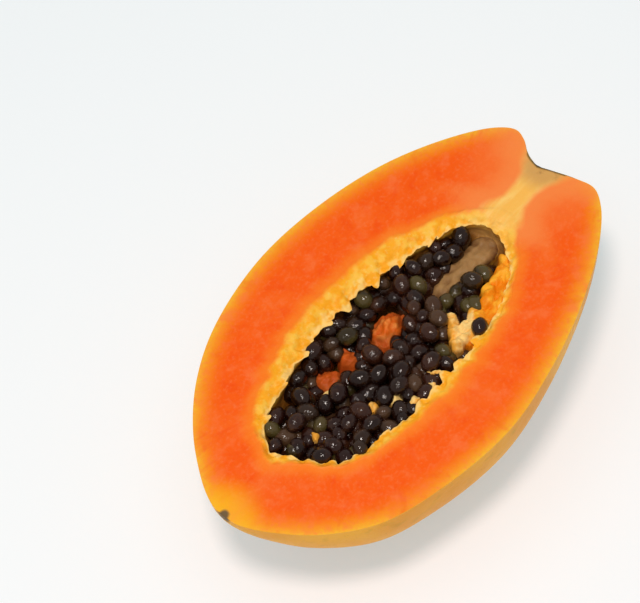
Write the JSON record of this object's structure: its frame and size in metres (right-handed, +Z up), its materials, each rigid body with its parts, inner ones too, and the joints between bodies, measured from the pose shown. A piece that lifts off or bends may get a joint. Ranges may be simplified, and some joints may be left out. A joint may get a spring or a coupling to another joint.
{
  "type": "papaya half",
  "caption": "Half of a ripe papaya, cut lengthwise, with orange flesh and a cavity full of dark glossy seeds, lying on its skin with the cut face up.",
  "frame": {"origin": "under the middle of the half, on the surface it rests on", "axes": "+X from the blossom end to the stem end, +Z up, out of the cut face"},
  "size_m": [0.1906, 0.1177, 0.0596],
  "materials": {
    "flesh": "satin",
    "seed": "gloss"
  },
  "bodies": {
    "root": {"papaya_half": "flesh", "seeds": "seed", "lone_seed": "seed"}
  },
  "joints": []
}
